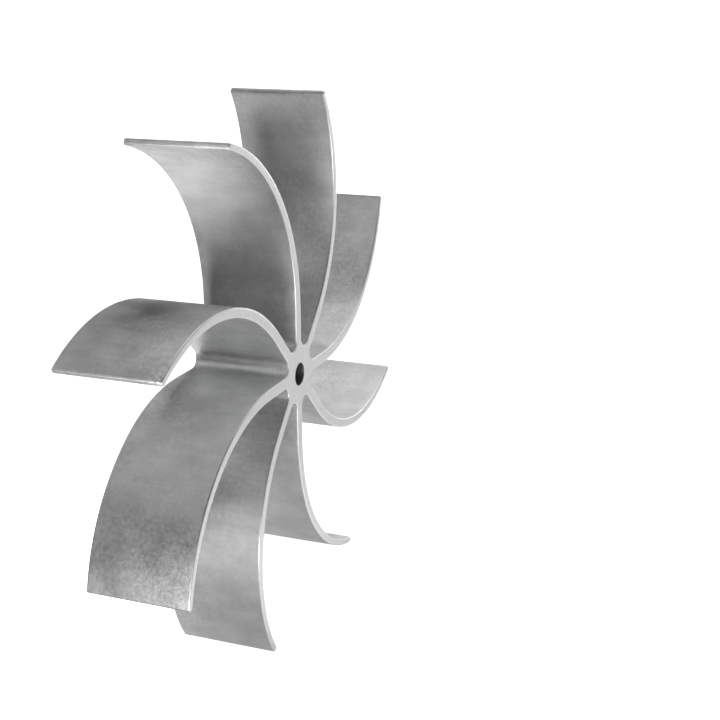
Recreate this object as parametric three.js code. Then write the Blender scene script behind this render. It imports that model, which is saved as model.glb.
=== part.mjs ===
// Extractor fan impeller: eight curved blades and their hub, cut from one aluminium extrusion.
// Millimetres, +Z up. The shaft's axis lies along Y and its front face looks along -Y.
// The origin is the middle of the bore, and the impeller stands on the tips of two blades.

import * as THREE from 'three';

// Driving dimensions
const WIDTH = 31; // along the shaft
const TIP_CIRCLE_DIAMETER = 170; // through the middle of the blade ends
const HUB_DIAMETER = 18;
const BORE_DIAMETER = 7;
const BLADE_COUNT = 8;
const ROOT_THICKNESS = 3.4;
const TIP_THICKNESS = 1.9;
const STRAIGHT_REACH = 21; // radius up to which a blade runs straight out from the shaft
const BLADE_CURVE_RADIUS = 53.4; // of the blade's middle line, beyond the straight root
const ROOT_FILLET_RADIUS = 2.7; // two of them nearly fill the bottom of a pocket
const TIP_CORNER_RADIUS = 0.4;
const FIRST_TIP_ANGLE = THREE.MathUtils.degToRad(67.5); // from +X towards +Z

// How finely the curves are cut into straight pieces
const BLADE_STEPS = 16;
const FILLET_STEPS = 4;
const CORNER_STEPS = 3;
const HUB_STEPS = 2;
const BORE_STEPS = 16;

const TIP_RADIUS = TIP_CIRCLE_DIAMETER / 2;
const HUB_RADIUS = HUB_DIAMETER / 2;
const PITCH = (2 * Math.PI) / BLADE_COUNT;

// Each blade is drawn with its root running straight up from the shaft, at (0, 0).
// The centre of its curve lies to the left, level with the end of the straight root.
const CURVE_CENTRE = new THREE.Vector2(-BLADE_CURVE_RADIUS, STRAIGHT_REACH);

// How far the blade's middle line turns between its straight root and the tip circle,
// from the triangle of the shaft, the curve's centre and the tip.
function sweepOfCurve() {
  const shaftToCentre = CURVE_CENTRE.length();
  const cosine =
    (shaftToCentre ** 2 + BLADE_CURVE_RADIUS ** 2 - TIP_RADIUS ** 2) /
    (2 * shaftToCentre * BLADE_CURVE_RADIUS);
  return Math.acos(cosine) - Math.atan2(STRAIGHT_REACH, BLADE_CURVE_RADIUS);
}

const SWEEP = sweepOfCurve();

// Points on an arc, both ends included. It runs clockwise where `to` is less than `from`.
function arc(centre, radius, from, to, steps) {
  const points = [];
  for (let i = 0; i <= steps; i++) {
    const angle = from + ((to - from) * i) / steps;
    points.push(new THREE.Vector2(Math.cos(angle), Math.sin(angle)).multiplyScalar(radius).add(centre));
  }
  return points;
}

// A point on the blade's curved part. `along` runs from 0 at the root to 1 at the tip.
// `side` is 1 on the bulging face, -1 on the hollow face and 0 on the middle line.
function bladePoint(along, side) {
  const halfThickness = THREE.MathUtils.lerp(ROOT_THICKNESS, TIP_THICKNESS, along) / 2;
  const turn = SWEEP * along;
  const fromCentre = new THREE.Vector2(Math.cos(turn), Math.sin(turn));
  return fromCentre.multiplyScalar(BLADE_CURVE_RADIUS + side * halfThickness).add(CURVE_CENTRE);
}

// The face of the curved part on one side, from the root to just short of the tip's corner.
function bladeFace(side) {
  const stop = 1 - TIP_CORNER_RADIUS / (BLADE_CURVE_RADIUS * SWEEP);
  const points = [];
  for (let i = 0; i <= BLADE_STEPS; i++) {
    points.push(bladePoint((stop * i) / BLADE_STEPS, side));
  }
  return points;
}

// The square-cut end of a blade, with its two corners slightly rounded.
function bladeEnd() {
  const outwards = new THREE.Vector2(Math.cos(SWEEP), Math.sin(SWEEP));
  const onwards = new THREE.Vector2(-Math.sin(SWEEP), Math.cos(SWEEP));
  const inset = TIP_THICKNESS / 2 - TIP_CORNER_RADIUS;
  const back = bladePoint(1, 0).addScaledVector(onwards, -TIP_CORNER_RADIUS);
  const outerCentre = back.clone().addScaledVector(outwards, inset);
  const innerCentre = back.clone().addScaledVector(outwards, -inset);
  const quarter = Math.PI / 2;
  return [
    ...arc(outerCentre, TIP_CORNER_RADIUS, SWEEP, SWEEP + quarter, CORNER_STEPS),
    ...arc(innerCentre, TIP_CORNER_RADIUS, SWEEP + quarter, SWEEP + 2 * quarter, CORNER_STEPS),
  ];
}

// The rounded corner between the hub and a blade's root, on the right-hand side, hub end first.
const FILLET_CENTRE_ACROSS = ROOT_THICKNESS / 2 + ROOT_FILLET_RADIUS;
const FILLET_CENTRE_UP = Math.sqrt((HUB_RADIUS + ROOT_FILLET_RADIUS) ** 2 - FILLET_CENTRE_ACROSS ** 2);

function rootFillet() {
  const centre = new THREE.Vector2(FILLET_CENTRE_ACROSS, FILLET_CENTRE_UP);
  const towardsShaft = Math.PI + centre.angle();
  return arc(centre, ROOT_FILLET_RADIUS, towardsShaft, Math.PI, FILLET_STEPS);
}

// The bottom of the pocket between this blade and the next, on the hub's own circle.
function pocketBottom() {
  const filletAngle = Math.atan2(FILLET_CENTRE_ACROSS, FILLET_CENTRE_UP);
  const start = Math.PI / 2 + filletAngle;
  const end = Math.PI / 2 + PITCH - filletAngle;
  const ends = arc(new THREE.Vector2(), HUB_RADIUS, start, end, HUB_STEPS);
  return ends.slice(1, -1);
}

// One blade and the pocket after it, anticlockwise.
function onePitch() {
  const fillet = rootFillet();
  const mirrored = fillet.map((point) => new THREE.Vector2(-point.x, point.y)).reverse();
  return [
    ...fillet,
    ...bladeFace(1),
    ...bladeEnd().slice(1, -1),
    ...bladeFace(-1).reverse(),
    ...mirrored,
    ...pocketBottom(),
  ];
}

// The section of the extrusion: the same pitch turned round the shaft, and the bore.
function section() {
  const tip = bladePoint(1, 0);
  const firstTurn = FIRST_TIP_ANGLE - tip.angle();
  const shaft = new THREE.Vector2();
  const points = [];
  for (let blade = 0; blade < BLADE_COUNT; blade++) {
    const turn = firstTurn + blade * PITCH;
    points.push(...onePitch().map((point) => point.rotateAround(shaft, turn)));
  }
  const shape = new THREE.Shape(points);
  const bore = new THREE.Path();
  bore.absarc(0, 0, BORE_DIAMETER / 2, 0, 2 * Math.PI, true);
  shape.holes.push(bore);
  return shape;
}

// The extrusion, cut to length with its middle on the origin and its axis turned onto Y.
function impellerGeometry() {
  const geometry = new THREE.ExtrudeGeometry(section(), {
    depth: WIDTH,
    bevelEnabled: false,
    curveSegments: BORE_STEPS,
  });
  geometry.translate(0, 0, -WIDTH / 2);
  geometry.rotateX(Math.PI / 2);
  return geometry;
}

const aluminium = new THREE.MeshStandardMaterial({ color: 0xb9bbbc, roughness: 0.45, metalness: 0.9 });

const impeller = new THREE.Mesh(impellerGeometry(), aluminium);
impeller.name = 'impeller';

const part = new THREE.Group();
part.add(impeller);

export default part;
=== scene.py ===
# %% [markdown]
# # Extractor fan impeller
# The real impeller is one piece: a length of aluminium extrusion with eight curved blades round a small
# hub. It has no joints and nothing is fastened to it, so this lesson has one piece, made with great
# care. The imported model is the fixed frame. Here it gets its broken edges, its finish and its light.

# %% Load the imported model
import math

import bmesh
import bpy
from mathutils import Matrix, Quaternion, Vector


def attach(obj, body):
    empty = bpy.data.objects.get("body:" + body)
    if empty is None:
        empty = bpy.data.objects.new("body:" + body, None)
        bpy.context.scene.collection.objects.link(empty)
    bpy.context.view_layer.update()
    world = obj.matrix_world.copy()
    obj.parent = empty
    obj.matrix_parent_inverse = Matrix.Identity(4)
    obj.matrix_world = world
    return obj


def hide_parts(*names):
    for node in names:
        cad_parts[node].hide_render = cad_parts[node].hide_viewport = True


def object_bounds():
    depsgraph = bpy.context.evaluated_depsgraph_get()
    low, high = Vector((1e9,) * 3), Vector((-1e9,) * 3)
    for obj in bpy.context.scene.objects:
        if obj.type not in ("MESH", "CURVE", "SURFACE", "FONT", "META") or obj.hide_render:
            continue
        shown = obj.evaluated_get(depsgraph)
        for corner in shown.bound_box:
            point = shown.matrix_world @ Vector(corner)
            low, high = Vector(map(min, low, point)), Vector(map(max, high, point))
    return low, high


MM = 0.001
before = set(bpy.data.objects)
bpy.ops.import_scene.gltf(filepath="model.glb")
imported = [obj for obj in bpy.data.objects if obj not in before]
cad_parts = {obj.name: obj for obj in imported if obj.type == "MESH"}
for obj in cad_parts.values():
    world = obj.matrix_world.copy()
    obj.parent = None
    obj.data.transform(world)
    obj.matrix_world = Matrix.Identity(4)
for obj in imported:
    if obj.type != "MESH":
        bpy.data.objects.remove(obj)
cad_low, cad_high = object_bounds()
print("CAD box in mm:", [round((high - low) / MM, 1) for low, high in zip(cad_low, cad_high)])

# %% [markdown]
# ## Sizes
# Everything is in metres. The width comes from the frame, and the section repeats the CAD's few driving
# dimensions. The shaft's axis lies along Y, the front face looks along -Y, and the origin is the middle
# of the bore.

# %% Driving dimensions
WIDTH = cad_high.y - cad_low.y
TIP_RADIUS = 85 * MM
HUB_RADIUS = 9 * MM
BORE_RADIUS = 3.5 * MM
BLADE_COUNT = 8
ROOT_THICKNESS = 3.4 * MM
TIP_THICKNESS = 1.9 * MM
STRAIGHT_REACH = 21 * MM
CURVE_RADIUS = 53.4 * MM
ROOT_FILLET = 2.7 * MM
FIRST_TIP_ANGLE = math.radians(67.5)
PITCH = 2 * math.pi / BLADE_COUNT
print("width in mm:", round(WIDTH / MM, 2), "blades:", BLADE_COUNT)

# %% [markdown]
# ## The camera
# The viewing angle was worked out from the blade tips and edges in the photograph. The camera stands to
# the left of the wheel, a little in front of it and above it, and its lens is a short portrait one. It
# aims just in front of the hub, so no shift is needed: only a small roll, because the wheel leans in
# the picture.

# %% Camera
AIM = Vector((12.4, -30.4, 0.9)) * MM
DISTANCE = 377.3 * MM
AZIMUTH = math.radians(-68.54)
ELEVATION = math.radians(24.2)
ROLL = math.radians(-3.0)
LENS = 61.47
FILM_WIDTH = 36
SEES_FROM = 10 * MM


def direction(azimuth, elevation):
    """From the wheel towards a place round it: azimuth 0 is in front, and elevation is above the floor."""
    level = math.cos(elevation)
    return Vector((math.sin(azimuth) * level, -math.cos(azimuth) * level, math.sin(elevation)))


def look_along(thing, place, target, roll=0.0):
    """Puts a camera or a lamp at a place and turns it to face the target."""
    thing.location = place
    thing.rotation_mode = "QUATERNION"
    facing = (target - place).to_track_quat("-Z", "Y")
    thing.rotation_quaternion = facing @ Quaternion((0, 0, 1), roll)


camera = bpy.data.objects.new("camera", bpy.data.cameras.new("camera"))
camera.data.lens = LENS
camera.data.sensor_width = FILM_WIDTH
camera.data.clip_start = SEES_FROM
look_along(camera, AIM + direction(AZIMUTH, ELEVATION) * DISTANCE, AIM, ROLL)
bpy.context.scene.collection.objects.link(camera)
bpy.context.scene.camera = camera
print("camera at mm:", [round(value / MM) for value in camera.location])

# %% [markdown]
# ## One blade's outline
# An extrusion is the same all along its length, so its shape is a flat outline. The outline repeats
# eight times, so it is enough to draw one blade and the pocket after it, and to let the computer turn
# it. Each blade leaves the hub straight out from the shaft, then follows one circular arc, and gets
# thinner to its tip. The points could be typed in, but arcs and a formula say what the shape is, and
# stay smooth at any fineness.

# %% Arcs and points on the blade
CURVE_CENTRE = Vector((-CURVE_RADIUS, STRAIGHT_REACH))


def on_circle(centre, radius, angle):
    return centre + Vector((math.cos(angle), math.sin(angle))) * radius


def arc(centre, radius, start, end, steps):
    """Points on an arc, both ends included."""
    return [on_circle(centre, radius, start + (end - start) * i / steps) for i in range(steps + 1)]


def curved_sweep():
    """How far the blade's middle line turns, from the triangle of shaft, curve centre and tip."""
    away = CURVE_CENTRE.length
    cosine = (away**2 + CURVE_RADIUS**2 - TIP_RADIUS**2) / (2 * away * CURVE_RADIUS)
    return math.acos(cosine) - math.atan2(STRAIGHT_REACH, CURVE_RADIUS)


SWEEP = curved_sweep()


def blade_point(along, side):
    """along is 0 at the root and 1 at the tip; side is 1 on the bulging face and -1 on the hollow one."""
    half_thickness = (ROOT_THICKNESS + (TIP_THICKNESS - ROOT_THICKNESS) * along) / 2
    return on_circle(CURVE_CENTRE, CURVE_RADIUS + side * half_thickness, SWEEP * along)


print("a blade curves through", round(math.degrees(SWEEP)), "degrees")

# %% [markdown]
# ## The blade's faces and its tip
# Each face of a blade is the middle line moved aside by half the thickness, which shrinks towards the
# tip. The die rounds the two corners of the tip a little. A round corner is a quarter circle, and the
# curve of the face stops where it begins.

# %% The two faces and the tip
TIP_CORNER = 0.68 * MM
BLADE_STEPS = 44
CORNER_STEPS = 6


def blade_face(side):
    """From the root up to where the tip's corner starts."""
    stop = 1 - TIP_CORNER / (CURVE_RADIUS * SWEEP)
    return [blade_point(stop * i / BLADE_STEPS, side) for i in range(BLADE_STEPS + 1)]


def blade_end():
    """Round the tip, from the bulging face to the hollow one."""
    outwards = on_circle(Vector((0, 0)), 1, SWEEP)
    onwards = Vector((-outwards.y, outwards.x))
    back = blade_point(1, 0) - onwards * TIP_CORNER
    inset = outwards * (TIP_THICKNESS / 2 - TIP_CORNER)
    quarter = math.pi / 2
    outer = arc(back + inset, TIP_CORNER, SWEEP, SWEEP + quarter, CORNER_STEPS)
    inner = arc(back - inset, TIP_CORNER, SWEEP + quarter, SWEEP + 2 * quarter, CORNER_STEPS)
    return outer[1:] + inner[:-1]


print("points round one blade:", 2 * len(blade_face(1)) + len(blade_end()))

# %% [markdown]
# ## The root and the pocket
# The inside corner where a blade meets the hub is rounded too, which makes the root strong. It is a
# circle that touches both the blade's side and the hub, which fixes its centre. The bottom of the
# pocket is a stretch of the hub's own circle. With these, one blade and one pocket make a pitch, from
# one fillet to the next.

# %% Root fillets, pocket and the whole pitch
FILLET_STEPS = 8
POCKET_STEPS = 4


def root_fillet(side):
    """From the hub up to the blade; side is 1 on the right and -1 on the left."""
    across = ROOT_THICKNESS / 2 + ROOT_FILLET
    centre = Vector((across, math.sqrt((HUB_RADIUS + ROOT_FILLET) ** 2 - across**2)))
    towards_shaft = math.pi + math.atan2(centre.y, centre.x)
    points = arc(centre, ROOT_FILLET, towards_shaft, math.pi, FILLET_STEPS)
    return [Vector((side * point.x, point.y)) for point in points]


def pocket_bottom():
    """Along the hub, from this blade's fillet to the next blade's."""
    corner = root_fillet(1)[0]
    half_gap = math.atan2(corner.x, corner.y)
    start = math.pi / 2 + half_gap
    return arc(Vector((0, 0)), HUB_RADIUS, start, math.pi / 2 + PITCH - half_gap, POCKET_STEPS)[1:]


def one_pitch():
    """One blade and the pocket after it, anticlockwise; its last point is the next blade's first one."""
    up_the_bulging_face = root_fillet(1) + blade_face(1)
    down_the_hollow_face = blade_face(-1)[::-1] + root_fillet(-1)[::-1]
    return up_the_bulging_face + blade_end() + down_the_hollow_face + pocket_bottom()


print("points in one pitch:", len(one_pitch()))

# %% [markdown]
# ## The broken edge
# The cut edges of the real impeller aren't sharp. They catch the light as thin bright lines in the
# photograph. A Bevel modifier could round them, but it needs clean face loops. It is simpler to sweep a
# side view of the rim round the outline: a lip, a rounded edge, the blade's width, and the same again.
# The lip is a narrow ring on the cut face, and the guard is one on the wall. The two keep the smooth
# shading of the rounded edge off the flat parts. The bore's edge is crisp, so it gets a much smaller
# rounding of its own.

# %% Side view of a rim
EDGE_ACROSS = 0.62 * MM
EDGE_ALONG = 0.28 * MM
LIP = 0.66 * MM
EDGE_STEPS = 6
WIDTH_STEPS = 6
GUARD = 0.3 * MM


def rim_side_view(across, along, lip):
    """x runs out of the metal and y along the shaft, from one cut face to the other."""
    half = WIDTH / 2
    quarter = arc(Vector((-1, 1)), 1, -math.pi / 2, 0, EDGE_STEPS)
    first_round = [Vector((point.x * across, point.y * along - half)) for point in quarter]
    flat_from = -half + along + GUARD
    flat = [Vector((0, flat_from - 2 * flat_from * i / WIDTH_STEPS)) for i in range(WIDTH_STEPS + 1)]
    last_round = [Vector((point.x, -point.y)) for point in reversed(first_round)]
    return [Vector((-lip, -half))] + first_round + flat + last_round + [Vector((-lip, half))]


outer_rim = rim_side_view(EDGE_ACROSS, EDGE_ALONG, LIP)
print("points in the rim's side view:", len(outer_rim))

# %% [markdown]
# ## Three wires
# Geometry Nodes start from one object's mesh and can read others. So the pitch and the two side views
# become objects, chains of edges without faces. They are only tools, and they are deleted once the
# wheel is made.

# %% Wires for the pitch and the rims
BORE_EDGE = 0.12 * MM
BORE_LIP = 0.2 * MM


def wire_object(name, points):
    """A chain of edges through flat points."""
    mesh = bpy.data.meshes.new(name)
    edges = [(i, i + 1) for i in range(len(points) - 1)]
    mesh.from_pydata([(point.x, point.y, 0) for point in points], edges, [])
    made = bpy.data.objects.new(name, mesh)
    bpy.context.scene.collection.objects.link(made)
    return made


pitch_wire = wire_object("one_pitch", one_pitch())
rim_wire = wire_object("rim_side_view", outer_rim)
bore_wire = wire_object("bore_side_view", rim_side_view(BORE_EDGE, BORE_EDGE, BORE_LIP))
print("points in the wires:", [len(wire.data.vertices) for wire in (pitch_wire, rim_wire, bore_wire)])

# %% [markdown]
# ## A node tree for the wheel
# Geometry Nodes suit a shape that follows a rule, and this one does: turn, join, sweep, fill. The tree
# gets named inputs for its sizes, so the same tree could make another wheel from another pitch. One
# helper adds a node and one joins two of them, so that each step below reads as a list of what it does.

# %% Start the tree and its inputs
tree = bpy.data.node_groups.new("impeller_from_one_pitch", "GeometryNodeTree")
WELD = 0.002 * MM
NODE_STEP = 220


def tree_input(name, kind):
    return tree.interface.new_socket(name=name, in_out="INPUT", socket_type=kind)


def add(kind, **settings):
    """Adds a node and sets it."""
    made = tree.nodes.new(kind)
    made.location = (NODE_STEP * len(tree.nodes), 0)
    for name, value in settings.items():
        setattr(made, name, value)
    return made


def join(start, end):
    """Links an output to an input, and gives the node that it leads to."""
    tree.links.new(start, end)
    return end.node


tree_input("Pitch", "NodeSocketGeometry")
sockets = {
    "Blades": tree_input("Blades", "NodeSocketInt"),
    "First turn": tree_input("First turn", "NodeSocketFloat"),
    "Rim": tree_input("Rim", "NodeSocketObject"),
    "Lip": tree_input("Lip", "NodeSocketFloat"),
    "Bore rim": tree_input("Bore rim", "NodeSocketObject"),
    "Bore lip": tree_input("Bore lip", "NodeSocketFloat"),
    "Width": tree_input("Width", "NodeSocketFloat"),
    "Bore radius": tree_input("Bore radius", "NodeSocketFloat"),
    "Weld": tree_input("Weld", "NodeSocketFloat"),
    "Metal": tree_input("Metal", "NodeSocketMaterial"),
}
tree.interface.new_socket(name="Wheel", in_out="OUTPUT", socket_type="NodeSocketGeometry")
given = add("NodeGroupInput")
print("inputs:", ", ".join(sockets))

# %% [markdown]
# ## Turn the pitch round the shaft
# One point for each blade carries a copy of the pitch. The first is turned to its place, and each next
# one a step further: a full turn divided by the number of blades. The ends of the copies meet, so
# welding them gives one closed line, the outline of the extrusion.

# %% Eight turned copies, welded into one outline
points = add("GeometryNodePoints")
join(given.outputs["Blades"], points.inputs["Count"])
step = add("ShaderNodeMath", operation="DIVIDE")
step.inputs[0].default_value = 2 * math.pi
join(given.outputs["Blades"], step.inputs[1])
turn = add("ShaderNodeMath", operation="MULTIPLY_ADD")
join(add("GeometryNodeInputIndex").outputs[0], turn.inputs[0])
join(step.outputs[0], turn.inputs[1])
join(given.outputs["First turn"], turn.inputs[2])
spin = add("ShaderNodeCombineXYZ")
join(turn.outputs[0], spin.inputs["Z"])

copies = add("GeometryNodeInstanceOnPoints")
join(points.outputs[0], copies.inputs["Points"])
join(given.outputs["Pitch"], copies.inputs["Instance"])
join(spin.outputs[0], copies.inputs["Rotation"])
loose = join(copies.outputs[0], add("GeometryNodeRealizeInstances").inputs[0])
welded = join(loose.outputs[0], add("GeometryNodeMergeByDistance").inputs["Geometry"])
join(given.outputs["Weld"], welded.inputs["Distance"])
outline = join(welded.outputs[0], add("GeometryNodeMeshToCurve").inputs["Mesh"])
print("nodes so far:", len(tree.nodes))

# %% [markdown]
# ## The bore
# The hole for the shaft is a circle inside the outline. It runs the other way round. Then the metal
# lies on the left of both lines, and the same steps give the walls of both.

# %% The bore's circle
BORE_STEPS = 64
circle = add("GeometryNodeCurvePrimitiveCircle")
circle.inputs["Resolution"].default_value = BORE_STEPS
join(given.outputs["Bore radius"], circle.inputs["Radius"])
bore = join(circle.outputs["Curve"], add("GeometryNodeReverseCurve").inputs["Curve"])
print("nodes so far:", len(tree.nodes))

# %% [markdown]
# ## Sweep the walls
# The side view of its rim is swept round each line, which gives the walls with their rounded edges. The
# cut faces end where the swept rims begin, so each line is also drawn into the metal by its lip.

# %% Walls, and the lines that bound the cut faces
def sweep_walls(line, rim_name):
    """Sweeps the side view of a rim round a line."""
    rim = add("GeometryNodeObjectInfo")
    join(given.outputs[rim_name], rim.inputs["Object"])
    rim_curve = join(rim.outputs["Geometry"], add("GeometryNodeMeshToCurve").inputs["Mesh"])
    walls = add("GeometryNodeCurveToMesh")
    join(line.outputs[0], walls.inputs["Curve"])
    join(rim_curve.outputs[0], walls.inputs["Profile Curve"])
    return walls


def draw_in(line, lip_name):
    """Moves a line into the metal by the lip."""
    inwards = add("ShaderNodeVectorMath", operation="SCALE")
    negative_lip = add("ShaderNodeMath", operation="MULTIPLY")
    negative_lip.inputs[1].default_value = -1
    join(given.outputs[lip_name], negative_lip.inputs[0])
    join(add("GeometryNodeInputNormal").outputs[0], inwards.inputs[0])
    join(negative_lip.outputs[0], inwards.inputs["Scale"])
    moved = join(line.outputs[0], add("GeometryNodeSetPosition").inputs["Geometry"])
    join(inwards.outputs[0], moved.inputs["Offset"])
    return moved


all_walls = []
face_lines = add("GeometryNodeJoinGeometry")
for line, rim_name, lip_name in ((outline, "Rim", "Lip"), (bore, "Bore rim", "Bore lip")):
    steady = join(line.outputs[0], add("GeometryNodeSetCurveNormal", mode="Z_UP").inputs["Curve"])
    all_walls.append(sweep_walls(steady, rim_name))
    join(draw_in(steady, lip_name).outputs[0], face_lines.inputs[0])
print("nodes so far:", len(tree.nodes))

# %% [markdown]
# ## Fill the cut faces
# Each cut face is the area between the two lines, filled once and moved along the shaft to either end.
# One of the two is flipped, because both have to look away from the metal.

# %% Front and back cut faces
face = join(face_lines.outputs[0], add("GeometryNodeFillCurve").inputs["Curve"])


def half_width_move(sign):
    """A shift along the extrusion by half its width."""
    half = add("ShaderNodeMath", operation="MULTIPLY")
    half.inputs[1].default_value = sign / 2
    join(given.outputs["Width"], half.inputs[0])
    shift = add("ShaderNodeCombineXYZ")
    join(half.outputs[0], shift.inputs["Z"])
    moved = join(face.outputs[0], add("GeometryNodeTransform").inputs["Geometry"])
    join(shift.outputs[0], moved.inputs["Translation"])
    return moved


front_face = half_width_move(1)
back_face = join(half_width_move(-1).outputs[0], add("GeometryNodeFlipFaces").inputs["Mesh"])
print("nodes so far:", len(tree.nodes))

# %% [markdown]
# ## Weld, turn onto the shaft's axis and finish
# The faces are welded to the walls, so that the wheel is one closed skin. The section was drawn flat,
# so a quarter turn puts its axis on Y. The skin is shaded smooth, but an edge where it turns by more
# than 32 degrees stays sharp.

# %% Weld, turn, shade and give it its metal
SHARP_ANGLE = math.radians(32)
QUARTER_TURN = math.pi / 2
skin = add("GeometryNodeJoinGeometry")
for part in (*all_walls, front_face, back_face):
    join(part.outputs[0], skin.inputs[0])
closed = join(skin.outputs[0], add("GeometryNodeMergeByDistance").inputs["Geometry"])
join(given.outputs["Weld"], closed.inputs["Distance"])
upright = join(closed.outputs[0], add("GeometryNodeTransform").inputs["Geometry"])
upright.inputs["Rotation"].default_value = (QUARTER_TURN, 0, 0)

smooth = join(upright.outputs[0], add("GeometryNodeSetShadeSmooth").inputs["Geometry"])
corner = add("FunctionNodeCompare", data_type="FLOAT", operation="LESS_THAN")
corner.inputs["B"].default_value = SHARP_ANGLE
join(add("GeometryNodeInputMeshEdgeAngle").outputs["Unsigned Angle"], corner.inputs["A"])
soft_edges = join(smooth.outputs[0], add("GeometryNodeSetShadeSmooth", domain="EDGE").inputs["Geometry"])
join(corner.outputs[0], soft_edges.inputs["Shade Smooth"])

real = join(soft_edges.outputs[0], add("GeometryNodeRealizeInstances").inputs[0])
dressed = join(real.outputs[0], add("GeometryNodeSetMaterial").inputs["Geometry"])
join(given.outputs["Metal"], dressed.inputs["Material"])
join(dressed.outputs[0], add("NodeGroupOutput").inputs[0])
print("nodes in the tree:", len(tree.nodes))

# %% [markdown]
# ## The metal
# The blades are bare extruded aluminium: a satin grey with a fine pebbled grain and faint lines along
# the shaft, where the metal slid through the die. The cut faces are lighter, with the fine arcs that a
# saw leaves. One material holds both, because they are one piece of metal. It tells them apart by which
# way the surface faces. The patterns could be painted, but noise in object space needs no unwrapping
# and goes round corners without a seam. A helper keeps the steps short: it adds a shader node, sets it
# and joins it to what comes before.

# %% A material and its first helper
metal = bpy.data.materials.new("extruded_aluminium")
metal.use_nodes = True
shader_tree = metal.node_tree
surface = shader_tree.nodes["Principled BSDF"]
surface.inputs["Metallic"].default_value = 1.0
place = shader_tree.nodes.new("ShaderNodeTexCoord")
position = place.outputs["Object"]
NODES_IN_A_ROW = 9
NODE_ACROSS = 260
NODE_DOWN = 240


def paint(kind, inputs=None, **settings):
    """Adds a shader node; each input is a number or another node's output."""
    made = shader_tree.nodes.new(kind)
    row, column = divmod(len(shader_tree.nodes), NODES_IN_A_ROW)
    made.location = (-NODE_ACROSS * column, -NODE_DOWN * row)
    for name, value in settings.items():
        setattr(made, name, value)
    for name, value in (inputs or {}).items():
        if isinstance(value, bpy.types.NodeSocket):
            shader_tree.links.new(value, made.inputs[name])
        else:
            made.inputs[name].default_value = value
    return made


print("material:", metal.name)

# %% [markdown]
# ## Sums, ranges and noise
# Most of the nodes below do one of three things: a sum with two values, a change of range, or noise.
# Each gets a helper with a short name. The noise has a scale for each axis, so that it can be drawn out
# into lines.

# %% Three kinds of node
def sums(operation, first, second=0.0):
    """One sum with two values, such as ADD or MULTIPLY."""
    return paint("ShaderNodeMath", {0: first, 1: second}, operation=operation).outputs[0]


def total(first, *others):
    for value in others:
        first = sums("ADD", first, value)
    return first


def ramp(value, low, high, to_low=0.0, to_high=1.0):
    """Stretches low..high of a value over to_low..to_high."""
    ends = {"Value": value, "From Min": low, "From Max": high, "To Min": to_low, "To Max": to_high}
    return paint("ShaderNodeMapRange", ends).outputs[0]


def grain(stretch, features_per_metre, detail=4.0, roughness=0.55):
    """Noise in object space, stretched along the axes."""
    mapped = paint("ShaderNodeMapping", {"Vector": position, "Scale": stretch})
    settings = {"Scale": features_per_metre, "Detail": detail, "Roughness": roughness}
    return paint("ShaderNodeTexNoise", {"Vector": mapped.outputs[0], **settings}).outputs["Fac"]


print("shader nodes so far:", len(shader_tree.nodes))

# %% [markdown]
# ## Where the cut faces, the edges and the bore are
# The cut faces look along the shaft, so the Y part of their normal is 1, and on the blades' walls it is
# 0. On the rounded edges it lies between, and there the tone gets a painted highlight and the roughness
# drops. The bore is a wall too, but close to the shaft. Each pair of numbers says where a mask starts
# and where it is full. Selected faces and three materials would do too, but masks fade softly from one
# finish to the next.

# %% Masks
CUT_FACING = (0.75, 0.98)
EDGE_STARTS = (0.08, 0.4)
EDGE_STOPS = (0.999, 0.98)
BORE_REACH = (BORE_RADIUS + 0.7 * MM, BORE_RADIUS + 0.5 * MM)
BORE_FACING = (0.5, 0.2)
ACROSS_THE_SHAFT = (1, 0, 1)
normal = paint("ShaderNodeSeparateXYZ", {0: place.outputs["Normal"]})
facing = sums("ABSOLUTE", normal.outputs["Y"])
cut = ramp(facing, *CUT_FACING)
edge = sums("MULTIPLY", ramp(facing, *EDGE_STARTS), ramp(facing, *EDGE_STOPS))
flattened = paint("ShaderNodeVectorMath", {0: position, 1: ACROSS_THE_SHAFT}, operation="MULTIPLY")
from_shaft = paint("ShaderNodeVectorMath", {0: flattened.outputs[0]}, operation="LENGTH")
near_shaft = ramp(from_shaft.outputs["Value"], *BORE_REACH)
# Where the painted shade inside the bore goes
bore_shade = sums("MULTIPLY", near_shaft, ramp(facing, *BORE_FACING))
print("shader nodes so far:", len(shader_tree.nodes))

# %% [markdown]
# ## Grain and lines
# The walls have four scales of detail: broad clouds, blotches of a few millimetres, a pebbled grain of
# about one, and a fine tooth. The die lines are the same noise with a very small scale along the shaft,
# which draws it out into lines.

# %% Patterns of the walls
EVEN = (1, 1, 1)
A_LITTLE_LONG = (1, 0.7, 1)
ALONG_THE_SHAFT = (1, 0.012, 1)
clouds = grain(EVEN, features_per_metre=45, detail=3)
blotches = grain(A_LITTLE_LONG, features_per_metre=140, detail=3)
pebbles = grain(EVEN, features_per_metre=850, detail=4, roughness=0.65)
tooth = grain(EVEN, features_per_metre=4200, detail=2)
die_lines = grain(ALONG_THE_SHAFT, features_per_metre=1100, detail=3)
print("shader nodes so far:", len(shader_tree.nodes))

# %% [markdown]
# ## Coarse and lightened places
# The pebbles aren't equally strong everywhere. They come and go in patches, and they are strongest
# round one corner, the front tip of the blade at the lower left. The same corner of the blade above it
# is lightened to the edges' tone, in patches of the pebbles. A distance from a point is enough to place
# such marks, and it stays with the metal from any side.

# %% Two corners of their own
COARSE_BLADE = 4
COARSE_RADIUS = 42 * MM
COARSE_STRENGTH = 0.65
# Where the front corner of the third blade is lightened to the edges' tone
LIGHTENED_BLADE = 3
LIGHTENED_RADIUS = 6 * MM
LIGHTENED_GRAIN = (0.35, 0.6)
PATCHES_PER_METRE = 28
PATCH_NOISE = (0.45, 0.65)
PATCH_STRENGTH = (0.25, 0.55)


def front_corner(blade):
    """The front corner of a blade's tip; blades are counted anticlockwise from the top."""
    angle = FIRST_TIP_ANGLE + (blade - 1) * PITCH
    return Vector((math.cos(angle) * TIP_RADIUS, -WIDTH / 2, math.sin(angle) * TIP_RADIUS))


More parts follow.
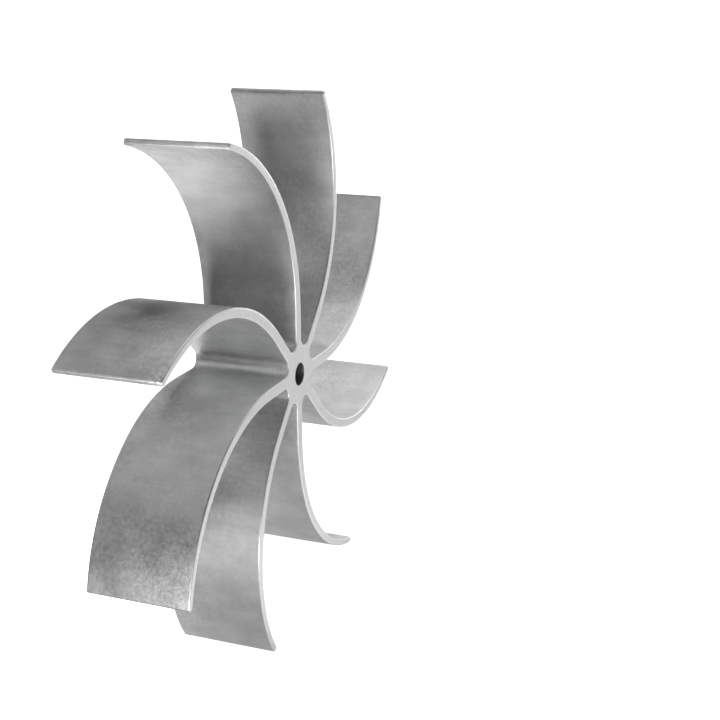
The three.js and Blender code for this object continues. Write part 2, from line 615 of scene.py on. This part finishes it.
def near(point, radius):
    """1 at a point of the wheel, fading to 0 at a radius from it."""
    away = paint("ShaderNodeVectorMath", {0: position, 1: point}, operation="DISTANCE")
    return ramp(away.outputs["Value"], radius, 0)


coarse_corner = ramp(near(front_corner(COARSE_BLADE), COARSE_RADIUS), 0, 1, 0, COARSE_STRENGTH)
patches = ramp(grain(EVEN, PATCHES_PER_METRE, detail=1), *PATCH_NOISE, *PATCH_STRENGTH)
coarse_places = sums("MAXIMUM", patches, coarse_corner)
lightened_corner = sums("MULTIPLY", near(front_corner(LIGHTENED_BLADE), LIGHTENED_RADIUS), ramp(pebbles, *LIGHTENED_GRAIN))
for blade in (COARSE_BLADE, LIGHTENED_BLADE):
    print("corner of blade", blade, "at mm:", [round(value / MM, 1) for value in front_corner(blade)])

# %% [markdown]
# ## The saw's arcs
# A saw blade is a large disc, so its marks on the cut faces are arcs of large circles. A wave texture
# draws rings round its own centre. Shifting it by more than the wheel's radius leaves only gentle arcs
# on the wheel.

# %% Rings round a centre off the wheel
SAW_SHIFT = (160 * MM, 0, 110 * MM)
saw_inputs = {
    "Vector": paint("ShaderNodeMapping", {"Vector": position, "Location": SAW_SHIFT}).outputs[0],
    "Scale": 420,
    "Distortion": 1.2,
    "Detail": 3,
    "Detail Scale": 2.5,
}
saw_arcs = paint("ShaderNodeTexWave", saw_inputs, wave_type="RINGS", rings_direction="Y").outputs["Fac"]
print("shader nodes so far:", len(shader_tree.nodes))

# %% [markdown]
# ## Colour
# Aluminium is a light metal, and its colour changes little over the wheel. A light tone matters in the
# pockets between the blades: the metal mirrors itself there, two or three times, and each time takes
# some of the light. Each pattern swings the tone a little about a middle one. Noise seldom leaves the
# middle of its range, so it is that middle which is stretched over the swing. The rounded edges are the
# lightest: their tone is a painted highlight, for the light that they catch. One tip corner gets the
# same tone, and a touch less red makes the metal cool.

# %% Tones of the walls, the cut faces and the edges
WALL_GREY = 0.63
CUT_GREY = 0.95
# The rounded edges' tone and its share are a painted highlight
EDGE_HIGHLIGHT_GREY = 1.0
EDGE_HIGHLIGHT_SHARE = 0.85
# The bore's darker tone is a painted shade in the hole
BORE_SHADE_GREY = 0.35
LESS_RED = 0.995
SOFT_NOISE = (0.3, 0.7)
CRISP_NOISE = (0.35, 0.65)
WHOLE_WAVE = (0, 1)


def swing(pattern, size, middle=0.0, between=SOFT_NOISE):
    """Turns that part of a pattern into a swing of this size about a middle value."""
    return ramp(pattern, *between, middle - size, middle + size)


def blend(amount, first, second):
    return paint("ShaderNodeMix", {"Factor": amount, "A": first, "B": second}, data_type="FLOAT").outputs[0]


wall_tone = total(
    swing(clouds, size=0.075, middle=WALL_GREY),
    swing(blotches, size=0.06),
    swing(die_lines, size=0.02),
    sums("MULTIPLY", swing(pebbles, size=0.13, between=CRISP_NOISE), coarse_places),
)
cut_tone = total(
    CUT_GREY,
    swing(saw_arcs, size=0.02, between=WHOLE_WAVE),
    swing(pebbles, size=0.03, between=CRISP_NOISE),
)
tone = blend(cut, wall_tone, cut_tone)
# Blends in the painted highlight on the rounded edges
tone = blend(sums("MULTIPLY", edge, EDGE_HIGHLIGHT_SHARE), tone, EDGE_HIGHLIGHT_GREY)
# Lightens the front corner of the third blade to the edges' tone
tone = blend(lightened_corner, tone, EDGE_HIGHLIGHT_GREY)
# Blends in the painted shade inside the bore
tone = blend(bore_shade, tone, BORE_SHADE_GREY)
red = sums("MULTIPLY", tone, LESS_RED)
tint = paint("ShaderNodeCombineColor", {"Red": red, "Green": tone, "Blue": tone})
shader_tree.links.new(tint.outputs[0], surface.inputs["Base Color"])
print("tones:", WALL_GREY, "on the walls,", CUT_GREY, "on the cut faces")

# %% [markdown]
# ## Gloss
# Most of what the eye reads as metal is how the gloss varies, so the roughness gets the patterns too.
# The rounded edges are the smoothest, and with their painted highlight they show as thin bright lines.

# %% Roughness
WALL_ROUGHNESS = 0.47
CUT_ROUGHNESS = 0.43
EDGE_ROUGHNESS = 0.3
wall_gloss = total(swing(clouds, size=0.05, middle=WALL_ROUGHNESS), swing(pebbles, size=0.05))
cut_gloss = swing(saw_arcs, size=0.07, middle=CUT_ROUGHNESS, between=WHOLE_WAVE)
gloss = blend(edge, blend(cut, wall_gloss, cut_gloss), EDGE_ROUGHNESS)
shader_tree.links.new(gloss, surface.inputs["Roughness"])
print("roughness:", WALL_ROUGHNESS, "on the walls and", EDGE_ROUGHNESS, "on the edges")

# %% [markdown]
# ## Relief
# The grain is about a tenth of a millimetre deep at most. That is far too fine to model, so a bump node
# tilts the light instead. The tooth, the die lines and the saw's arcs are small shares of that depth.

# %% Bump
GRAIN_DEPTH = 0.16 * MM
RELIEF_STRENGTH = 0.8
TOOTH_ON_WALLS = 0.08
LINES_ON_WALLS = 0.08
TOOTH_ON_CUT_FACES = 0.1
ARCS_ON_CUT_FACES = 0.2
wall_relief = total(
    sums("MULTIPLY", pebbles, coarse_places),
    sums("MULTIPLY", tooth, TOOTH_ON_WALLS),
    sums("MULTIPLY", die_lines, LINES_ON_WALLS),
)
cut_relief = total(
    sums("MULTIPLY", saw_arcs, ARCS_ON_CUT_FACES),
    sums("MULTIPLY", tooth, TOOTH_ON_CUT_FACES),
)
height = blend(cut, wall_relief, cut_relief)
relief = paint("ShaderNodeBump", {"Height": height, "Strength": RELIEF_STRENGTH, "Distance": GRAIN_DEPTH})
shader_tree.links.new(relief.outputs[0], surface.inputs["Normal"])
print("shader nodes:", len(shader_tree.nodes))

# %% [markdown]
# ## Make the wheel
# The modifier's inputs are set by the sockets' identifiers, because their names aren't keys there. The
# evaluated result becomes a plain mesh, without the empty slot that comes first in its list of
# materials. Then the wires have done their work.

# %% Run the tree
blade_tip = blade_point(1, 0)
FIRST_TURN = FIRST_TIP_ANGLE - math.atan2(blade_tip.y, blade_tip.x)
values = {
    "Blades": BLADE_COUNT,
    "First turn": FIRST_TURN,
    "Rim": rim_wire,
    "Lip": LIP,
    "Bore rim": bore_wire,
    "Bore lip": BORE_LIP,
    "Width": WIDTH,
    "Bore radius": BORE_RADIUS,
    "Weld": WELD,
    "Metal": metal,
}
modifier = pitch_wire.modifiers.new("wheel", "NODES")
modifier.node_group = tree
for name, value in values.items():
    modifier[sockets[name].identifier] = value

evaluated = pitch_wire.evaluated_get(bpy.context.evaluated_depsgraph_get())
wheel = bpy.data.objects.new("fan_impeller", bpy.data.meshes.new_from_object(evaluated))
wheel.data.materials.pop(index=0)
bpy.context.scene.collection.objects.link(wheel)
pitch_wire.modifiers.remove(modifier)
for wire in (pitch_wire, rim_wire, bore_wire):
    bpy.data.objects.remove(wire)
print("wheel:", len(wheel.data.vertices), "points,", len(wheel.data.polygons), "faces")

# %% [markdown]
# ## Check the skin
# A sweep can come out inside out, depending on which way its line runs. On a closed skin Blender can
# tell the inside from the outside, so the faces are turned outwards here. An open edge would show as a
# number other than 0.

# %% Faces outwards, no open edges
skin_mesh = bmesh.new()
skin_mesh.from_mesh(wheel.data)
bmesh.ops.recalc_face_normals(skin_mesh, faces=skin_mesh.faces)
open_edges = sum(1 for skin_edge in skin_mesh.edges if not skin_edge.is_manifold)
volume = skin_mesh.calc_volume()
skin_mesh.to_mesh(wheel.data)
skin_mesh.free()
CUBIC_CENTIMETRE = 1e-6
print("open edges:", open_edges, "volume in cm3:", round(volume / CUBIC_CENTIMETRE, 2))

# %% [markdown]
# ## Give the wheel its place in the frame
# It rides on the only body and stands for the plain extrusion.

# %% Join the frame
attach(wheel, "root")
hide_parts("impeller")
print(wheel.name, "stands for the node impeller")

# %% [markdown]
# ## The floor
# The wheel stands on two blade tips on a plain pale floor, a single large square. The floor isn't part of
# the object.

# %% Floor
METRE = 1.0
FLOOR_HALF = 4.0 * METRE
PALE = (0.9, 0.9, 0.9, 1)
WHITE = (1, 1, 1, 1)
DULL = 0.9
SQUARE = ((-1, -1), (1, -1), (1, 1), (-1, 1))
floor_mesh = bpy.data.meshes.new("floor")
floor_corners = [(x * FLOOR_HALF, y * FLOOR_HALF, cad_low.z) for x, y in SQUARE]
floor_mesh.from_pydata(floor_corners, [], [(0, 1, 2, 3)])
floor = bpy.data.objects.new("floor", floor_mesh)
bpy.context.scene.collection.objects.link(floor)
floor_paint = bpy.data.materials.new("floor_paint")
floor_paint.use_nodes = True
floor_surface = floor_paint.node_tree.nodes["Principled BSDF"]
floor_surface.inputs["Base Color"].default_value = PALE
floor_surface.inputs["Roughness"].default_value = DULL
floor_surface.inputs["Emission Color"].default_value = WHITE
floor_mesh.materials.append(floor_paint)
print("floor at mm:", round(cad_low.z / MM, 1))

# %% [markdown]
# ## The floor's glow
# The floor glows a little, as a light table does. Two soft pools under the wheel light the undersides
# of the blades, and an even glow rises with the distance from the wheel, so that the metal doesn't
# mirror a dark horizon. A lamp under the floor couldn't do this, because the floor would stop its
# light.

# %% A glow for the metal
POOL_RADIUS = 110 * MM
POOL_AWAY = 80 * MM
POOL_BEHIND = 0.79
POOL_IN_FRONT = 0.4
NEAR_GLOW = 0.11
FAR_GLOW = 0.4
NEAR_RADIUS = 0.3 * METRE
FAR_RADIUS = 1.1 * METRE
floor_nodes = floor_paint.node_tree.nodes
floor_links = floor_paint.node_tree.links
floor_place = floor_nodes.new("ShaderNodeTexCoord").outputs["Object"]


def glow_by_distance(y, from_radius, to_radius, at_from, at_to):
    """A glow that changes smoothly between two distances from a point on the floor, at this y."""
    away = floor_nodes.new("ShaderNodeVectorMath")
    away.operation = "DISTANCE"
    away.inputs[1].default_value = (0, y, cad_low.z)
    floor_links.new(floor_place, away.inputs[0])
    fade = floor_nodes.new("ShaderNodeMapRange")
    fade.interpolation_type = "SMOOTHSTEP"
    floor_links.new(away.outputs["Value"], fade.inputs["Value"])
    ends = {"From Min": from_radius, "From Max": to_radius, "To Min": at_from, "To Max": at_to}
    for name, value in ends.items():
        fade.inputs[name].default_value = value
    return fade.outputs[0]


def both_glows(first, second):
    added = floor_nodes.new("ShaderNodeMath")
    floor_links.new(first, added.inputs[0])
    floor_links.new(second, added.inputs[1])
    return added.outputs[0]


pool_behind = glow_by_distance(POOL_AWAY, 0, POOL_RADIUS, POOL_BEHIND, 0)
pool_in_front = glow_by_distance(-POOL_AWAY, 0, POOL_RADIUS, POOL_IN_FRONT, 0)
even_glow = glow_by_distance(0, NEAR_RADIUS, FAR_RADIUS, NEAR_GLOW, FAR_GLOW)
for_the_metal = both_glows(even_glow, both_glows(pool_behind, pool_in_front))
print("glow for the metal:", NEAR_GLOW, "near the wheel,", FAR_GLOW, "far off")

# %% [markdown]
# ## A brighter floor for the camera
# The camera sees the floor brighter than the metal does. So the metal keeps its contrast, and the
# background stays white. The light path node is 1 for the camera's own rays and 0 for the rays that the
# metal mirrors.

# %% The two glows together
SEEN_GLOW = 0.75
for_the_camera = floor_nodes.new("ShaderNodeMapRange")
for_the_camera.inputs["To Max"].default_value = SEEN_GLOW
camera_ray = floor_nodes.new("ShaderNodeLightPath").outputs["Is Camera Ray"]
floor_links.new(camera_ray, for_the_camera.inputs["Value"])
all_glow = both_glows(for_the_metal, for_the_camera.outputs[0])
floor_links.new(all_glow, floor_surface.inputs["Emission Strength"])
print("floor nodes:", len(floor_nodes))

# %% [markdown]
# ## Lamps
# Bare metal shows what stands round it, so the light has to come from many sides. Large soft lamps on
# the right and behind give the metal its broad gradients. Small ones close to the floor, on the left
# and on the right, reach under the blades. The camera doesn't see the lamps themselves.

# %% Lamps that stand round the wheel
LARGE_LAMP = {"distance": 1.2 * METRE, "size": 0.65 * METRE}
SMALL_LAMP = {"distance": 0.5 * METRE, "size": 0.22 * METRE}


def lamp_at(name, place, target, size, power):
    """A square soft lamp that faces its target."""
    lamp = bpy.data.lights.new(name, "AREA")
    lamp.shape = "SQUARE"
    lamp.size = size
    lamp.energy = power
    made = bpy.data.objects.new(name, lamp)
    look_along(made, place, target)
    made.visible_camera = False
    bpy.context.scene.collection.objects.link(made)
    print(name, "at mm:", [round(value / MM) for value in place], "with", power, "W")


def softbox(name, azimuth, elevation, power, distance, size):
    away = direction(math.radians(azimuth), math.radians(elevation))
    lamp_at(name, away * distance, Vector((0, 0, 0)), size, power)


softbox("lamp_right", azimuth=90, elevation=32, power=3.2, **LARGE_LAMP)
softbox("lamp_right_high", azimuth=90, elevation=60, power=3.4, **LARGE_LAMP)
softbox("lamp_behind", azimuth=180, elevation=32, power=1.7, **LARGE_LAMP)
softbox("lamp_behind_high", azimuth=150, elevation=55, power=0.43, **LARGE_LAMP)
softbox("lamp_behind_left", azimuth=-150, elevation=32, power=1.8, **LARGE_LAMP)
softbox("lamp_low_left", azimuth=-90, elevation=4, power=0.34, **SMALL_LAMP)
softbox("lamp_low_right", azimuth=90, elevation=4, power=0.4, **SMALL_LAMP)

# %% [markdown]
# ## Lamps on the floor
# Two lamps lie flat on the floor, beside the camera and under it, and shine up. They light the faces
# that look down and to the left, and the front cut face.

# %% Lamps that lie on the floor
FLOOR_LAMP_SIZE = 0.24 * METRE
ABOVE_FLOOR = 3 * MM


def floor_lamp(name, x, y, power):
    on_floor = Vector((x, y, cad_low.z + ABOVE_FLOOR))
    lamp_at(name, on_floor, on_floor + Vector((0, 0, METRE)), FLOOR_LAMP_SIZE, power)


floor_lamp("lamp_on_floor_left", x=-500 * MM, y=0, power=5.2)
floor_lamp("lamp_on_floor_in_front", x=-320 * MM, y=-160 * MM, power=1.05)

# %% [markdown]
# ## Surroundings
# The metal mirrors a dim grey room, which keeps its dark tones dark, while the camera sees plain white
# behind it. One background can't be both, but the light path node tells which kind of ray asks.

# %% Dim for the metal, white for the camera
SURROUNDINGS_GREY = 0.06
SEEN_WHITE = 1.0
surroundings = bpy.data.worlds.new("surroundings")
surroundings.use_nodes = True
background = surroundings.node_tree.nodes["Background"]
background.inputs["Color"].default_value = WHITE
ray = surroundings.node_tree.nodes.new("ShaderNodeLightPath")
seen = surroundings.node_tree.nodes.new("ShaderNodeMapRange")
seen.inputs["To Min"].default_value = SURROUNDINGS_GREY
seen.inputs["To Max"].default_value = SEEN_WHITE
surroundings.node_tree.links.new(ray.outputs["Is Camera Ray"], seen.inputs["Value"])
surroundings.node_tree.links.new(seen.outputs[0], background.inputs["Strength"])
bpy.context.scene.world = surroundings
bpy.context.scene.view_settings.view_transform = "Standard"
print("surroundings:", SURROUNDINGS_GREY, "for the metal,", SEEN_WHITE, "for the camera")

# %% [markdown]
# ## A dark card
# In the photograph the lower half of the second blade is dark, as bare metal is where it mirrors
# something dark. Photographers do this on purpose, with a black card. This one stands behind the wheel,
# at the left. The camera doesn't see it and it throws no shadow: it is there only for the metal to
# mirror.

# %% The card
CARD_AZIMUTH = math.radians(-125)
CARD_AWAY = 150 * MM
CARD_ASIDE = -30 * MM
CARD_HALF_WIDTH = 120 * MM
CARD_LOW = cad_low.z
CARD_HIGH = 75 * MM
NEARLY_BLACK = (0.02, 0.02, 0.02, 1)
card_sideways = Vector((math.cos(CARD_AZIMUTH), math.sin(CARD_AZIMUTH), 0))
card_middle = direction(CARD_AZIMUTH, 0) * CARD_AWAY + card_sideways * CARD_ASIDE
card_corners = [
    card_middle + card_sideways * side * CARD_HALF_WIDTH + Vector((0, 0, height))
    for side, height in ((-1, CARD_LOW), (1, CARD_LOW), (1, CARD_HIGH), (-1, CARD_HIGH))
]
card_mesh = bpy.data.meshes.new("dark_card")
card_mesh.from_pydata(card_corners, [], [(0, 1, 2, 3)])
card = bpy.data.objects.new("dark_card", card_mesh)
bpy.context.scene.collection.objects.link(card)
card.visible_camera = False
card.visible_shadow = False
card_paint = bpy.data.materials.new("card_paint")
card_paint.use_nodes = True
card_surface = card_paint.node_tree.nodes["Principled BSDF"]
card_surface.inputs["Base Color"].default_value = NEARLY_BLACK
card_surface.inputs["Roughness"].default_value = DULL
card_mesh.materials.append(card_paint)
print("card's middle at mm:", [round(value / MM) for value in card_middle])
